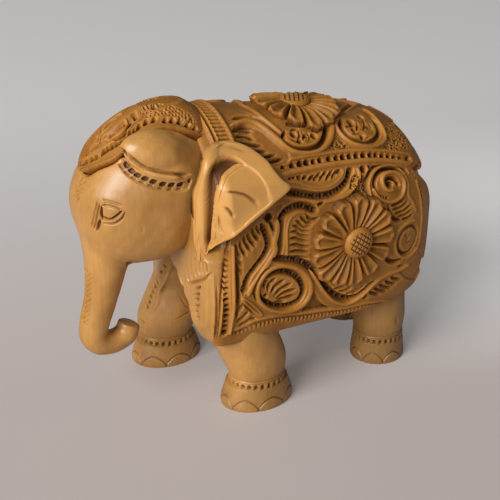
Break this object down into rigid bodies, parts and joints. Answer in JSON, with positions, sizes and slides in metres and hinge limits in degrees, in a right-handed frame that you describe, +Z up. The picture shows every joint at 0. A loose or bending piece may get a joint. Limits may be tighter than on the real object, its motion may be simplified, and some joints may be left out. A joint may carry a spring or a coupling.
{
  "type": "carved wooden elephant",
  "caption": "Free-standing carved wooden elephant in walking pose, with a cap and a saddle cloth carved in flower and leaf relief.",
  "frame": {"origin": "centre of the bounding box in plan, on the ground under the feet", "axes": "+X from head to tail, +Y towards the right side of the elephant, +Z up"},
  "size_m": [0.1282, 0.069, 0.1026],
  "materials": {
    "smooth_wood": "sanded, satin polish",
    "carved_wood": "chisel cut relief, satin, dark in the recesses",
    "raised_wood": "raised carved bands and flowers, satin"
  },
  "bodies": {
    "root": {"cap": "carved_wood", "cap_rail": "raised_wood", "head": "smooth_wood", "trunk": "smooth_wood", "left_temple_lobe": "smooth_wood", "left_eye": "carved_wood", "left_brow_band": "raised_wood", "right_temple_lobe": "smooth_wood", "right_eye": "carved_wood", "right_brow_band": "raised_wood", "torso": "smooth_wood", "collar": "raised_wood", "left_back_front_medallion": "raised_wood", "right_back_front_medallion": "raised_wood", "left_back_rear_medallion": "raised_wood", "right_back_rear_medallion": "raised_wood", "back_cloth": "carved_wood", "back_rosette": "raised_wood", "back_rosette_boss": "raised_wood", "rump_border": "raised_wood", "left_upper_rail": "raised_wood", "left_front_border": "raised_wood", "left_hem": "raised_wood", "left_rear_border": "raised_wood", "left_front_medallion": "raised_wood", "left_rear_medallion": "raised_wood", "left_volute": "raised_wood", "left_flank_cloth": "carved_wood", "left_rosette": "raised_wood", "left_rosette_boss": "raised_wood", "left_ear": "smooth_wood", "right_upper_rail": "raised_wood", "right_front_border": "raised_wood", "right_hem": "raised_wood", "right_rear_border": "raised_wood", "right_front_medallion": "raised_wood", "right_rear_medallion": "raised_wood", "right_volute": "raised_wood", "right_flank_cloth": "carved_wood", "right_rosette": "raised_wood", "right_rosette_boss": "raised_wood", "right_ear": "smooth_wood", "left_fore_leg": "smooth_wood", "left_fore_anklet": "carved_wood", "left_fore_foot": "smooth_wood", "right_fore_leg": "smooth_wood", "right_fore_anklet": "carved_wood", "right_fore_foot": "smooth_wood", "left_hind_leg": "smooth_wood", "left_hind_anklet": "carved_wood", "left_hind_foot": "smooth_wood", "right_hind_leg": "smooth_wood", "right_hind_anklet": "carved_wood", "right_hind_foot": "smooth_wood", "tail": "smooth_wood"}
  },
  "joints": []
}
